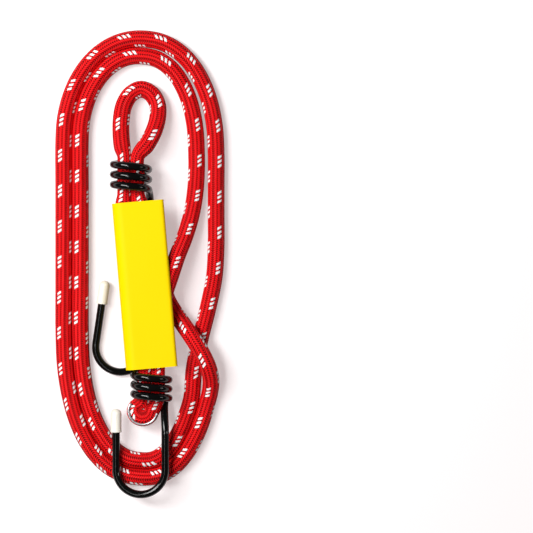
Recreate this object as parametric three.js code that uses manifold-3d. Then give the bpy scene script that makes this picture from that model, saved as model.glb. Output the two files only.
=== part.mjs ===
// Bungee cord: a braided elastic cord in a two-turn hank, with a coiled wire hook at each end and a tag.
// Millimetres, +Z up. The part lies on the plane z = 0, and the origin is under the middle of the hank.
import * as THREE from "three";
import Module from "manifold-3d";
import { mergeVertices } from "three/addons/utils/BufferGeometryUtils.js";

const wasm = await Module();
wasm.setup();

// Cord
const CORD_DIAMETER = 8;
const SHEATH_WALL = 1.1;
const CORD_SIDES = 8;
const CORE_SIDES = 6;
const HANK_STEP = 9.25;
const LOOP_STEP = 4;
const FOLD_STEP = 3.2;
const SQUEEZED_DIAMETER = 6.4;
const SQUEEZE_RUN_OUT = 6;
const STRAND_SPREAD = 7;
const SPLICE_GAP = 0.6;
const GRIP_MARGIN = 0.5;

// Hank: an oval of two turns, the second laid inside the first; each corner is a quarter of a superellipse
const HANK_WIDTH = 87.2;
const HANK_LENGTH = 236;
const HANK_MIDDLE = 3.1;
const HANK_LOWEST = 2.4;
const LANE_GAP = 0.6;
const LANE_SPREAD = 1.6;
const SPREAD_FROM = 0.7;
const TOP_LEFT = { height: 52.7, roundness: 2.05 };
const TOP_RIGHT = { height: 60.5, roundness: 2.2 };
const BOTTOM_LEFT = { height: 76.5, roundness: 2.25 };
const BOTTOM_RIGHT = { height: 83.5, roundness: 2.2 };
const JOIN_ANGLE = 30;
const RUN_STEPS = 8;
const RUN_FROM = 0.4;
const CORNER_STEPS = 8;
const SIDE_STEPS = 4;
const LAST_SIDE = 7;

// Clearances between pieces that touch
const CLEARANCE = 0.35;
const CORE_CLEARANCE = 0.4;
const TIP_CLEARANCE = 0.3;

// Hooks
const WIRE_DIAMETER = 4;
const WIRE_SIDES = 12;
const COIL_STEPS = 20;
const BEND_STEPS = 14;
const EXIT_STEPS = 8;
const UPPER_COIL = { x: -4.2, y: 50.2, pitch: 5.2, from: -200, to: 810 };
const LOWER_COIL = { x: 6.3, y: -58.6, pitch: 4.75, from: -200, to: 840 };
const UPPER_BEND = { x: -10.1, y: -43.2, radius: 13 };
const LOWER_BEND = { x: 0.75, y: -106.35, radius: 12.75 };
const UPPER_SHANK_TOP = { x: 5.2, y: 28 };
const LOWER_SHANK_TOP = { y: -88 };
const UPPER_LIMB = { length: 30.5, lean: 8.5, rise: 2.7 };
const LOWER_LIMB = { length: 29 };
const LOWER_TILT = 4.7;
const UPPER_EXIT = { pull: 5.5, push: 6 };
const LOWER_EXIT = { pull: 5, push: 8 };

// Tip caps
const TIP_DIAMETER = 5.8;
const TIP_LENGTH = 12.2;
const TIP_BORE = 10;
const TIP_SEGMENTS = 20;
const NOSE_SEGMENTS = 6;

// Tag
const TAG_WIDTH = 26.9;
const TAG_LENGTH = 86.1;
const TAG_SHEET = 0.5;
const TAG_FLAP = 10;
const TAG_HEM = 1.6;
const TAG_CENTRE = { x: 3, y: -10.8 };
const TAG_LEAN = 4.85;
const TAG_LIFT = 0.7;
const TAG_SEGMENTS = 8;

// Stop ring round the folded end
const RING_WIRE = 1.2;
const RING_SIDES = 8;
const RING_SLOPE = 45;
const RING_STEPS = 20;

// Heights and radii that follow from the sizes above
const cordRadius = CORD_DIAMETER / 2;
const wireRadius = WIRE_DIAMETER / 2;
const squeezedRadius = SQUEEZED_DIAMETER / 2;
const flatDepth = CORD_DIAMETER / 10;
const floorHeight = cordRadius - flatDepth;
const coilRadius = (STRAND_SPREAD + SQUEEZED_DIAMETER + WIRE_DIAMETER) / 2 + CLEARANCE;
const coilHeight = coilRadius + wireRadius;
const strandOffset = STRAND_SPREAD / 2;
const crossHeight = floorHeight + CORD_DIAMETER + 2 * CLEARANCE;
const limbHeight = floorHeight + cordRadius + CLEARANCE + wireRadius;
const laneStep = CORD_DIAMETER + LANE_GAP;
const halfWidth = (HANK_WIDTH - CORD_DIAMETER) / 2;
const hankTop = HANK_MIDDLE + (HANK_LENGTH - CORD_DIAMETER) / 2;
const hankBottom = HANK_MIDDLE - (HANK_LENGTH - CORD_DIAMETER) / 2;

const radians = THREE.MathUtils.degToRad;
const vector = (x, y, z) => new THREE.Vector3(x, y, z);

// Where a coil's wire is at an angle counted from its top, towards +X
function coilPoint(coil, degrees) {
  const angle = radians(degrees);
  const x = coil.x + coilRadius * Math.sin(angle);
  const z = coilHeight + coilRadius * Math.cos(angle);
  return vector(x, coil.y - (coil.pitch * degrees) / 360, z);
}

// The stretch along Y that a coil takes up, wire included
function coilSpan(coil) {
  const high = coilPoint(coil, coil.from).y + wireRadius;
  const low = coilPoint(coil, coil.to).y - wireRadius;
  return { low, high, middle: (low + high) / 2 };
}

const upperSpan = coilSpan(UPPER_COIL);
const lowerSpan = coilSpan(LOWER_COIL);

// Open loop above the upper coil: across and along from the coil's top, and share of the drop to the floor
const LOOP = [
  [-4.5, 4.9, 0.1],
  [-5.3, 12.1, 0.3],
  [-5.3, 19.9, 0.53],
  [-4, 27.3, 0.76],
  [-0.6, 33.1, 0.94],
  [4.7, 35.8, 1],
  [10, 33.5, 0.96],
  [13.3, 27.9, 0.82],
  [13.6, 21.1, 0.61],
  [11.6, 13.5, 0.34],
  [8.1, 6.7, 0.11],
];

// The tight fold below the lower coil, given the same way from the coil's low end
const FOLD = [
  [3.2, 2.7, 0.04],
  [1.7, -0.9, 0.18],
  [0.3, -4.1, 0.31],
  [-1.1, -6.9, 0.39],
  [-4.3, -8.3, 0.43],
  [-7.6, -7.2, 0.44],
  [-9, -4.3, 0.44],
  [-8, -1.9, 0.44],
  [-5.9, -0.3, 0.35],
  [-4, 1.5, 0.17],
  [-3.5, 4.5, 0.03],
];

// Points beyond an end of a coil, from offsets and shares of the drop
function beyondCoil(coil, end, offsets) {
  return offsets.map(([across, along, drop]) => {
    return [coil.x + across, end + along, THREE.MathUtils.lerp(coilHeight, floorHeight, drop)];
  });
}

// A strand through a coil, on one side of the coil's axis, from the low end to the high one
function throughCoil(coil, span, side) {
  const x = coil.x + side * strandOffset;
  const ends = [span.low - GRIP_MARGIN, span.middle, span.high + GRIP_MARGIN];
  return ends.map((y) => [x, y, coilHeight]);
}

// Route of the cord: the tail, coil and loop of the upper end
const upperRoute = [
  [-7.3, 13.5, coilHeight],
  [-7.5, 22, coilHeight],
  [-7.9, 30, coilHeight],
  ...throughCoil(UPPER_COIL, upperSpan, -1),
  ...beyondCoil(UPPER_COIL, upperSpan.high, LOOP),
  ...throughCoil(UPPER_COIL, upperSpan, 1).reverse(),
  [0.4, 30, coilHeight],
];

// Part of a corner of the oval, as points between two angles
function corner(centre, reach, roundness, fromDegrees, toDegrees) {
  const bow = (value) => Math.sign(value) * Math.abs(value) ** (2 / roundness);
  return Array.from({ length: CORNER_STEPS + 1 }, (_, i) => {
    const angle = radians(THREE.MathUtils.lerp(fromDegrees, toDegrees, i / CORNER_STEPS));
    const x = centre.x + reach.x * bow(Math.cos(angle));
    const y = centre.y + reach.y * bow(Math.sin(angle));
    return [x, y, floorHeight];
  });
}

// Points of a straight side, without its ends
function side(from, to) {
  return Array.from({ length: SIDE_STEPS - 1 }, (_, i) => {
    const share = (i + 1) / SIDE_STEPS;
    const x = THREE.MathUtils.lerp(from[0], to[0], share);
    const y = THREE.MathUtils.lerp(from[1], to[1], share);
    return [x, y, floorHeight];
  });
}

// A lane laid inside another that runs clockwise; the step to it grows by what a function of the share says
function laneInside(lane, extraAt) {
  return lane.map(([x, y, z], i) => {
    const before = lane[Math.max(i - 1, 0)];
    const after = lane[Math.min(i + 1, lane.length - 1)];
    const heading = vector(after[0] - before[0], after[1] - before[1], 0).normalize();
    const step = laneStep + extraAt(i / (lane.length - 1));
    return [x + heading.y * step, y - heading.x * step, z];
  });
}

// The first turn's way down the right side, easing from the outer lane to the inner one, without its ends
function runIn([startX, startY], [endX, endY]) {
  const points = [];
  for (let i = 1; i < RUN_STEPS; i += 1) {
    const share = i / RUN_STEPS;
    const shift = THREE.MathUtils.smoothstep(share, RUN_FROM, 1);
    const x = THREE.MathUtils.lerp(startX, endX, shift);
    const y = THREE.MathUtils.lerp(startY, endY, share);
    points.push([x, y, floorHeight]);
  }
  return points;
}

// The outer turn clockwise from where the cord joins it, the run-in to the second turn, and the inner turn
function turns() {
  const bottomLeft = corner(
    { x: HANK_LOWEST, y: hankBottom + BOTTOM_LEFT.height },
    { x: halfWidth + HANK_LOWEST, y: BOTTOM_LEFT.height },
    BOTTOM_LEFT.roundness,
    -90,
    -180,
  );
  const topLeft = corner(
    { x: 0, y: hankTop - TOP_LEFT.height },
    { x: halfWidth, y: TOP_LEFT.height },
    TOP_LEFT.roundness,
    180,
    90,
  );
  const topRight = corner(
    { x: 0, y: hankTop - TOP_RIGHT.height },
    { x: halfWidth, y: TOP_RIGHT.height },
    TOP_RIGHT.roundness,
    90,
    0,
  );
  const bottomRight = corner(
    { x: HANK_LOWEST, y: hankBottom + BOTTOM_RIGHT.height },
    { x: halfWidth - HANK_LOWEST, y: BOTTOM_RIGHT.height },
    BOTTOM_RIGHT.roundness,
    -JOIN_ANGLE,
    -90,
  );
  const left = side(bottomLeft[CORNER_STEPS], topLeft[0]);
  const top = [...topLeft, ...topRight.slice(1)];
  const outer = [...bottomRight, ...bottomLeft.slice(1), ...left, ...top];
  const spreadAt = (share) => LANE_SPREAD * THREE.MathUtils.smoothstep(share, SPREAD_FROM, 1);
  const inner = laneInside(outer, spreadAt);
  const [endX, endY] = inner[inner.length - 1];
  const right = runIn(outer[outer.length - 1], inner[0]);
  return [...outer, ...right, ...inner, [endX, endY - LAST_SIDE, floorHeight]];
}

// Out of the tag and over the run-in to the outer turn, round twice, and back under the tag
const hankRoute = [
  [1, 21.5, coilHeight],
  [1.7, 13, 10.8],
  [4.2, 6.4, 9.4],
  [8.5, 0.6, 6.9],
  [11, -5.2, 4.3],
  [12.3, -11.4, floorHeight],
  [14, -18, floorHeight],
  [17.6, -24.4, 4],
  [22.4, -31, 7.2],
  [27.4, -38, 11.1],
  [32, -45.4, crossHeight],
  [35.5, -53, 10.6],
  [37, -60, 7.2],
  [36.5, -66, 4.5],
  ...turns(),
  [28.8, 38, 3.5],
  [26.9, 26, 5],
  [23.6, 14.5, 7.4],
  [19.6, 4, 9.9],
  [16.5, -5.5, 11.1],
  [13.7, -14, 11.8],
  [11.8, -22, crossHeight],
  [10.8, -31.5, 11.8],
  [10.2, -40.6, 11.5],
];

// Coil, tight fold and tail of the lower end
const lowerRoute = [
  [10, -47.5, coilHeight],
  ...throughCoil(LOWER_COIL, lowerSpan, 1).slice(1).reverse(),
  ...beyondCoil(LOWER_COIL, lowerSpan.low, FOLD),
  ...throughCoil(LOWER_COIL, lowerSpan, -1).slice(1),
  [1.5, -46, coilHeight],
  [1.2, -37, coilHeight],
];
const RING_FROM = 5;
const RING_TO = 10;

// One smooth curve through all three stretches, and the length along it of each point
const routePoints = [...upperRoute, ...hankRoute, ...lowerRoute].map((p) => vector(...p));
const cordCurve = new THREE.CatmullRomCurve3(routePoints, false, "centripetal");
const DIVISIONS = 24;
cordCurve.arcLengthDivisions = (routePoints.length - 1) * DIVISIONS;
const curveLengths = cordCurve.getLengths();
const lengthAt = (index) => curveLengths[index * DIVISIONS];
const cordLength = cordCurve.getLength();
const hankStart = lengthAt(upperRoute.length);
const hankEnd = lengthAt(upperRoute.length + hankRoute.length);

// The cord narrows where a coil grips it, and stays narrow round the tight fold
function cordRadiusAt(length, point) {
  if (length > hankStart && length < hankEnd) return cordRadius;
  const upper = length <= hankStart;
  const low = upper ? upperSpan.low : -Infinity;
  const high = upper ? upperSpan.high : lowerSpan.high;
  const beyond = Math.max(low - point.y, point.y - high, 0);
  const share = THREE.MathUtils.smoothstep(beyond, 0, SQUEEZE_RUN_OUT);
  return THREE.MathUtils.lerp(squeezedRadius, cordRadius, share);
}

// Sample points of the cord between two lengths, with the radius at each
function cordSamples(from, to, step) {
  const count = Math.ceil((to - from) / step);
  const samples = [];
  for (let i = 0; i <= count; i += 1) {
    const length = THREE.MathUtils.lerp(from, to, i / count);
    const point = cordCurve.getPointAt(length / cordLength);
    samples.push({ point, radius: cordRadiusAt(length, point) });
  }
  return samples;
}

// Rings of points square to a path, carried along it without twist
function ringsAlong(points, radii, sides) {
  const last = points.length - 1;
  const tangents = points.map((_, i) => {
    const before = points[Math.max(i - 1, 0)];
    const after = points[Math.min(i + 1, last)];
    return after.clone().sub(before).normalize();
  });
  const up = Math.abs(tangents[0].z) < 0.9 ? vector(0, 0, 1) : vector(1, 0, 0);
  let normal = up.cross(tangents[0]).normalize();
  return points.map((point, i) => {
    normal = normal.clone().addScaledVector(tangents[i], -normal.dot(tangents[i])).normalize();
    const binormal = tangents[i].clone().cross(normal);
    return Array.from({ length: sides }, (_, k) => {
      const angle = (2 * Math.PI * (k + 0.5)) / sides;
      const across = normal.clone().multiplyScalar(radii[i] * Math.cos(angle));
      return across.addScaledVector(binormal, radii[i] * Math.sin(angle)).add(point);
    });
  });
}

function geometryFrom(points, triangles) {
  const geometry = new THREE.BufferGeometry();
  const flat = points.flatMap((p) => [p.x, p.y, p.z]);
  geometry.setAttribute("position", new THREE.Float32BufferAttribute(flat, 3));
  geometry.setIndex(triangles);
  geometry.computeVertexNormals();
  return geometry;
}

// Side walls between rings that start at a vertex number, facing out, or in when inward
function wallTriangles(ringCount, sides, first, inward) {
  const triangles = [];
  for (let i = 0; i < ringCount - 1; i += 1) {
    for (let k = 0; k < sides; k += 1) {
      const next = (k + 1) % sides;
      const a = first + i * sides + k;
      const b = first + i * sides + next;
      const c = b + sides;
      const d = a + sides;
      triangles.push(...(inward ? [a, c, b, a, d, c] : [a, b, c, a, c, d]));
    }
  }
  return triangles;
}

// A solid rod through rings
function solidTube(rings) {
  const sides = rings[0].length;
  const triangles = wallTriangles(rings.length, sides, 0, false);
  const top = (rings.length - 1) * sides;
  for (let k = 1; k < sides - 1; k += 1) {
    triangles.push(0, k + 1, k, top, top + k, top + k + 1);
  }
  return geometryFrom(rings.flat(), triangles);
}

// A sleeve with a bore, open at both ends
function hollowTube(outer, inner) {
  const sides = outer[0].length;
  const bore = outer.length * sides;
  const top = (outer.length - 1) * sides;
  const triangles = wallTriangles(outer.length, sides, 0, false);
  triangles.push(...wallTriangles(inner.length, sides, bore, true));
  for (let k = 0; k < sides; k += 1) {
    const next = (k + 1) % sides;
    triangles.push(k, bore + k, bore + next, k, bore + next, next);
    triangles.push(top + k, bore + top + next, bore + top + k, top + k, top + next, bore + top + next);
  }
  return geometryFrom([...outer, ...inner].flat(), triangles);
}

function toSolid(geometry) {
  const bare = geometry.clone();
  bare.deleteAttribute("normal");
  if (bare.getAttribute("uv")) bare.deleteAttribute("uv");
  const merged = mergeVertices(bare);
  const vertProperties = new Float32Array(merged.getAttribute("position").array);
  const triVerts = new Uint32Array(merged.getIndex().array);
  return new wasm.Manifold(new wasm.Mesh({ numProp: 3, vertProperties, triVerts }));
}

function fromSolid(solid) {
  const { vertProperties, triVerts } = solid.getMesh();
  const geometry = new THREE.BufferGeometry();
  geometry.setAttribute("position", new THREE.BufferAttribute(new Float32Array(vertProperties), 3));
  geometry.setIndex([...triVerts]);
  geometry.computeVertexNormals();
  return geometry;
}

const GROUND_SIZE = 400;

// What lies below z = 0 comes off, so that the cord rests on flats
function cutAtFloor(geometry) {
  const ground = new THREE.BoxGeometry(GROUND_SIZE, GROUND_SIZE, GROUND_SIZE);
  ground.translate(0, 0, -GROUND_SIZE / 2);
  return fromSolid(toSolid(geometry).subtract(toSolid(ground)));
}

function sheathGeometry(samples) {
  const points = samples.map((s) => s.point);
  const outer = ringsAlong(points, samples.map((s) => s.radius), CORD_SIDES);
  const inner = ringsAlong(points, samples.map((s) => s.radius - SHEATH_WALL), CORD_SIDES);
  return cutAtFloor(hollowTube(outer, inner));
}

function coreGeometry(samples) {
  const radii = samples.map((s) => s.radius - SHEATH_WALL - CORE_CLEARANCE);
  return solidTube(ringsAlong(samples.map((s) => s.point), radii, CORE_SIDES));
}

const upperSamples = cordSamples(0, hankStart - SPLICE_GAP / 2, LOOP_STEP);
const hankSamples = cordSamples(hankStart + SPLICE_GAP / 2, hankEnd - SPLICE_GAP / 2, HANK_STEP);
const lowerSamples = cordSamples(hankEnd + SPLICE_GAP / 2, cordLength, FOLD_STEP);
const coreSamples = [...upperSamples, ...hankSamples, ...lowerSamples].slice(1, -1);

// Helix of a coil, from its free end to where the wire leaves it
function coilPath(coil) {
  const count = Math.ceil(((coil.to - coil.from) / 360) * COIL_STEPS);
  return Array.from({ length: count + 1 }, (_, i) => {
    return coilPoint(coil, THREE.MathUtils.lerp(coil.from, coil.to, i / count));
  });
}

// Smooth run from the end of a coil to the top of a straight shank
function exitPath(coil, shankTop, shankDirection, exit) {
  const start = coilPoint(coil, coil.to);
  const heading = start.clone().sub(coilPoint(coil, coil.to - 1)).normalize();
  const curve = new THREE.CubicBezierCurve3(
    start,
    start.clone().addScaledVector(heading, exit.pull),
    shankTop.clone().addScaledVector(shankDirection, -exit.push),
    shankTop,
  );
  return curve.getPoints(EXIT_STEPS).slice(1);
}

// Half-round bend in plan from one heading angle to another; heights come from a function of x
function bendPath(bend, fromDegrees, toDegrees, heightAt) {
  return Array.from({ length: BEND_STEPS + 1 }, (_, i) => {
    const angle = radians(THREE.MathUtils.lerp(fromDegrees, toDegrees, i / BEND_STEPS));
    const x = bend.x + bend.radius * Math.cos(angle);
    return vector(x, bend.y + bend.radius * Math.sin(angle), heightAt(x));
  });
}

// The upper hook lies on the floor under the strands; its limb rises for the cap to clear the floor
function upperHookPath() {
  const heightAt = () => wireRadius;
  const foot = vector(UPPER_BEND.x + UPPER_BEND.radius, UPPER_BEND.y, wireRadius);
  const shankTop = vector(UPPER_SHANK_TOP.x, UPPER_SHANK_TOP.y, wireRadius);
  const direction = foot.clone().sub(shankTop).normalize();
  const shankLean = THREE.MathUtils.radToDeg(Math.asin(-direction.x));
  const bend = bendPath(UPPER_BEND, -shankLean, -180 - UPPER_LIMB.lean, heightAt);
  const lean = radians(UPPER_LIMB.lean);
  const rise = Math.tan(radians(UPPER_LIMB.rise));
  const along = vector(Math.sin(lean), Math.cos(lean), rise).normalize();
  const tip = bend[BEND_STEPS].clone().addScaledVector(along, UPPER_LIMB.length);
  const exit = exitPath(UPPER_COIL, shankTop, direction, UPPER_EXIT);
  return { path: [...coilPath(UPPER_COIL), ...exit, ...bend, tip], tip, along };
}

// The lower hook lies across the hank, tilted so that its free limb is the low side
function lowerHookPath() {
  const low = LOWER_BEND.x - LOWER_BEND.radius;
  const slope = Math.tan(radians(LOWER_TILT));
  const heightAt = (x) => limbHeight + (x - low) * slope;
  const right = LOWER_BEND.x + LOWER_BEND.radius;
  const shankTop = vector(right, LOWER_SHANK_TOP.y, heightAt(right));
  const bend = bendPath(LOWER_BEND, 0, -180, heightAt);
  const along = vector(0, 1, 0);
  const tip = bend[BEND_STEPS].clone().addScaledVector(along, LOWER_LIMB.length);
  const exit = exitPath(LOWER_COIL, shankTop, vector(0, -1, 0), LOWER_EXIT);
  return { path: [...coilPath(LOWER_COIL), ...exit, ...bend, tip], tip, along };
}

function wireGeometry(path) {
  return solidTube(ringsAlong(path, path.map(() => wireRadius), WIRE_SIDES));
}

// Round-nosed cap with a blind bore; its length is along +Y of its own frame
function tipGeometry() {
  const outer = TIP_DIAMETER / 2;
  const bore = wireRadius + TIP_CLEARANCE;
  const nose = new THREE.EllipseCurve(0, TIP_LENGTH - outer, outer, outer, 0, Math.PI / 2);
  const profile = [
    new THREE.Vector2(0, TIP_BORE),
    new THREE.Vector2(bore, TIP_BORE),
    new THREE.Vector2(bore, 0),
    new THREE.Vector2(outer, 0),
    ...nose.getPoints(NOSE_SEGMENTS).slice(0, -1),
    new THREE.Vector2(0, TIP_LENGTH),
  ];
  return new THREE.LatheGeometry(profile, TIP_SEGMENTS);
}

// Folded tag: the printed leaf on top, a round fold on the left and a short flap under the strands
function tagGeometry() {
  const top = crossHeight + cordRadius + TAG_LIFT + TAG_SHEET;
  const bottom = coilHeight - cordRadius - CLEARANCE - TAG_SHEET;
  const fold = (top - bottom) / 2;
  const foldX = fold - TAG_WIDTH / 2;
  const foldZ = (top + bottom) / 2;
  const hemX = TAG_WIDTH / 2 - TAG_HEM;
  const hemZ = top - TAG_HEM;
  const flapX = TAG_FLAP - TAG_WIDTH / 2;
  const quarter = Math.PI / 2;
  const shape = new THREE.Shape();
  shape.moveTo(flapX, bottom);
  shape.lineTo(foldX, bottom);
  shape.absarc(foldX, foldZ, fold, -quarter, quarter, true);
  shape.lineTo(hemX, top);
  shape.absarc(hemX, hemZ, TAG_HEM, quarter, 0, true);
  shape.lineTo(hemX + TAG_HEM - TAG_SHEET, hemZ);
  shape.absarc(hemX, hemZ, TAG_HEM - TAG_SHEET, 0, quarter, false);
  shape.lineTo(foldX, top - TAG_SHEET);
  shape.absarc(foldX, foldZ, fold - TAG_SHEET, quarter, -quarter, false);
  shape.lineTo(flapX, bottom + TAG_SHEET);
  const settings = { depth: TAG_LENGTH, bevelEnabled: false, curveSegments: TAG_SEGMENTS };
  const geometry = new THREE.ExtrudeGeometry(shape, settings);
  geometry.rotateX(quarter);
  geometry.translate(0, TAG_LENGTH / 2, 0);
  return fromSolid(toSolid(geometry));
}

// Thin wire that hugs the shoulder of the folded end
function ringGeometry() {
  const first = upperRoute.length + hankRoute.length;
  const from = lengthAt(first + RING_FROM);
  const to = lengthAt(first + RING_TO);
  const slope = radians(RING_SLOPE);
  const reach = squeezedRadius + CLEARANCE + RING_WIRE / 2;
  const path = Array.from({ length: RING_STEPS + 1 }, (_, i) => {
    const share = THREE.MathUtils.lerp(from, to, i / RING_STEPS) / cordLength;
    const heading = cordCurve.getTangentAt(share);
    const outward = vector(heading.y, -heading.x, 0).normalize().negate();
    const point = cordCurve.getPointAt(share).addScaledVector(outward, reach * Math.cos(slope));
    return point.add(vector(0, 0, reach * Math.sin(slope)));
  });
  return solidTube(ringsAlong(path, path.map(() => RING_WIRE / 2), RING_SIDES));
}

const MEASURE_STEP = 1;
const NEIGHBOUR_RADII = 8;

// Least gap of a tube to itself, between samples that are further apart along it than a bend's reach
function leastSelfGap(points, radius) {
  const along = [0];
  for (let i = 1; i < points.length; i += 1) {
    along.push(along[i - 1] + points[i].distanceTo(points[i - 1]));
  }
  let least = Infinity;
  for (let i = 0; i < points.length; i += 1) {
    for (let j = i + 1; j < points.length; j += 1) {
      if (along[j] - along[i] < NEIGHBOUR_RADII * radius) continue;
      least = Math.min(least, points[i].distanceTo(points[j]) - 2 * radius);
    }
  }
  return least;
}

const upperHook = upperHookPath();
const lowerHook = lowerHookPath();
const finePoints = cordSamples(hankStart, hankEnd, MEASURE_STEP).map((s) => s.point);
console.log("hank length", (hankEnd - hankStart).toFixed(1), "cord length", cordLength.toFixed(1));
console.log("hank least gap", leastSelfGap(finePoints, cordRadius).toFixed(2));
console.log("upper coil least gap", leastSelfGap(upperHook.path, wireRadius).toFixed(2));
console.log("lower coil least gap", leastSelfGap(lowerHook.path, wireRadius).toFixed(2));

const materials = {
  sheath: new THREE.MeshStandardMaterial({ color: 0xc8141c, roughness: 0.75, metalness: 0 }),
  core: new THREE.MeshStandardMaterial({ color: 0xd8c9a8, roughness: 0.9, metalness: 0 }),
  wire: new THREE.MeshStandardMaterial({ color: 0x101010, roughness: 0.3, metalness: 0 }),
  tip: new THREE.MeshStandardMaterial({ color: 0xf4efe2, roughness: 0.4, metalness: 0 }),
  tag: new THREE.MeshStandardMaterial({ color: 0xffe500, roughness: 0.5, metalness: 0 }),
  steel: new THREE.MeshStandardMaterial({ color: 0xd0d0d0, roughness: 0.25, metalness: 1 }),
};

function piece(name, geometry, material) {
  const mesh = new THREE.Mesh(geometry, material);
  mesh.name = name;
  return mesh;
}

// A tip cap pushed over the end of a wire, with the wire just short of the bore's end
function tipPiece(name, hook) {
  const mesh = piece(name, tipGeometry(), materials.tip);
  const seat = TIP_BORE - TIP_CLEARANCE;
  mesh.position.copy(hook.tip).addScaledVector(hook.along, -seat);
  mesh.quaternion.setFromUnitVectors(vector(0, 1, 0), hook.along);
  return mesh;
}

const tag = piece("tag", tagGeometry(), materials.tag);
tag.position.set(TAG_CENTRE.x, TAG_CENTRE.y, 0);
tag.rotation.z = radians(TAG_LEAN);

const bungee = new THREE.Group();
bungee.add(
  piece("cord_upper_end", sheathGeometry(upperSamples), materials.sheath),
  piece("cord_hank", sheathGeometry(hankSamples), materials.sheath),
  piece("cord_lower_end", sheathGeometry(lowerSamples), materials.sheath),
  piece("cord_core", coreGeometry(coreSamples), materials.core),
  piece("upper_hook", wireGeometry(upperHook.path), materials.wire),
  tipPiece("upper_hook_tip", upperHook),
  piece("lower_hook", wireGeometry(lowerHook.path), materials.wire),
  tipPiece("lower_hook_tip", lowerHook),
  piece("stop_ring", ringGeometry(), materials.steel),
  tag,
);

export default bungee;
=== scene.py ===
"""Bungee cord: a braided elastic cord wound into a hank, with coiled wire hooks and a folded tag."""

import math

import bpy
import numpy as np
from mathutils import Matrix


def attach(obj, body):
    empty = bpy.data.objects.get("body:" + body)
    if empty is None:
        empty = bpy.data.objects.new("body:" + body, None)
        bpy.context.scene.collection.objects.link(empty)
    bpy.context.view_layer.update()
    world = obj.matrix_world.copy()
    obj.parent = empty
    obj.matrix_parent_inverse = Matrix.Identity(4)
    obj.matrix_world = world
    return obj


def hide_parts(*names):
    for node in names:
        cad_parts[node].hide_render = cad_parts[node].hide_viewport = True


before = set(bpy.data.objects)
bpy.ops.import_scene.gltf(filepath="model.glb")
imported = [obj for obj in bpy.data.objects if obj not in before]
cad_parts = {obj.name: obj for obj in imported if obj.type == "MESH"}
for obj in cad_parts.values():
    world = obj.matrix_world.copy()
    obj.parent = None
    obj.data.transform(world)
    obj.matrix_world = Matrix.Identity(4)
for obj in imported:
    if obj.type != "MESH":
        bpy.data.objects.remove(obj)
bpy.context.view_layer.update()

# Lengths are in millimetres up to the meshes, which are in metres
MM = 0.001

# Cord, flattened underneath by a share of its diameter where it lies
CORD_DIAMETER = 8.0
FLATTENED = 0.1
SQUEEZED_DIAMETER = 6.4
SQUEEZE_RUN_OUT = 6.0
STRAND_SPREAD = 7.0
GRIP_MARGIN = 0.5
CLEARANCE = 0.35

# Hank
HANK_WIDTH = 87.2
HANK_LENGTH = 236.0
HANK_MIDDLE = 3.1
HANK_LOWEST = 2.4
LANE_GAP = 0.6
LANE_SPREAD = 1.6
SPREAD_FROM = 0.7
TOP_LEFT = {"height": 52.7, "roundness": 2.05}
TOP_RIGHT = {"height": 60.5, "roundness": 2.2}
BOTTOM_LEFT = {"height": 76.5, "roundness": 2.25}
BOTTOM_RIGHT = {"height": 83.5, "roundness": 2.2}
JOIN_ANGLE = 30.0
RUN_STEPS = 8
RUN_FROM = 0.4
CORNER_STEPS = 8
SIDE_STEPS = 4
LAST_SIDE = 7.0

# Hooks
WIRE_DIAMETER = 4.0
UPPER_COIL = {"x": -4.2, "y": 50.2, "pitch": 5.2, "from": -200.0, "to": 810.0}
LOWER_COIL = {"x": 6.3, "y": -58.6, "pitch": 4.75, "from": -200.0, "to": 840.0}
UPPER_BEND = {"x": -10.1, "y": -43.2, "radius": 13.0}
LOWER_BEND = {"x": 0.75, "y": -106.35, "radius": 12.75}
UPPER_SHANK_TOP = (5.2, 28.0)
LOWER_SHANK_TOP = -88.0
UPPER_LIMB = {"length": 30.5, "lean": 8.5, "rise": 2.7}
LOWER_LIMB = 29.0
LOWER_TILT = 4.7
UPPER_EXIT = {"pull": 5.5, "push": 6.0}
LOWER_EXIT = {"pull": 5.0, "push": 8.0}

# Tip caps
TIP_DIAMETER = 5.8
TIP_LENGTH = 12.2
TIP_BORE = 10.0
TIP_CLEARANCE = 0.3

# Tag
TAG_WIDTH = 26.9
TAG_LENGTH = 86.1
TAG_SHEET = 0.5
TAG_FLAP = 10.0
TAG_HEM = 1.6
TAG_CENTRE = (3.0, -10.8)
TAG_LEAN = 4.85
TAG_LIFT = 0.7

# Stop ring
RING_WIRE = 1.2
RING_SLOPE = 45.0

# Heights and radii that follow from the sizes above
cord_radius = CORD_DIAMETER / 2
wire_radius = WIRE_DIAMETER / 2
squeezed_radius = SQUEEZED_DIAMETER / 2
floor_height = cord_radius - CORD_DIAMETER * FLATTENED
coil_radius = (STRAND_SPREAD + SQUEEZED_DIAMETER + WIRE_DIAMETER) / 2 + CLEARANCE
coil_height = coil_radius + wire_radius
strand_offset = STRAND_SPREAD / 2
cross_height = floor_height + CORD_DIAMETER + 2 * CLEARANCE
limb_height = floor_height + cord_radius + CLEARANCE + wire_radius
lane_step = CORD_DIAMETER + LANE_GAP
half_width = (HANK_WIDTH - CORD_DIAMETER) / 2
hank_top = HANK_MIDDLE + (HANK_LENGTH - CORD_DIAMETER) / 2
hank_bottom = HANK_MIDDLE - (HANK_LENGTH - CORD_DIAMETER) / 2


def lerp(a, b, share):
    return a + (b - a) * share


def smoothstep(value, low, high):
    share = min(max((value - low) / (high - low), 0.0), 1.0)
    return share * share * (3 - 2 * share)


def unit(v):
    return v / np.linalg.norm(v)


# Where a coil's wire is at an angle counted from its top, towards +X
def coil_point(coil, degrees):
    angle = math.radians(degrees)
    x = coil["x"] + coil_radius * math.sin(angle)
    z = coil_height + coil_radius * math.cos(angle)
    return np.array([x, coil["y"] - coil["pitch"] * degrees / 360, z])


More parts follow.
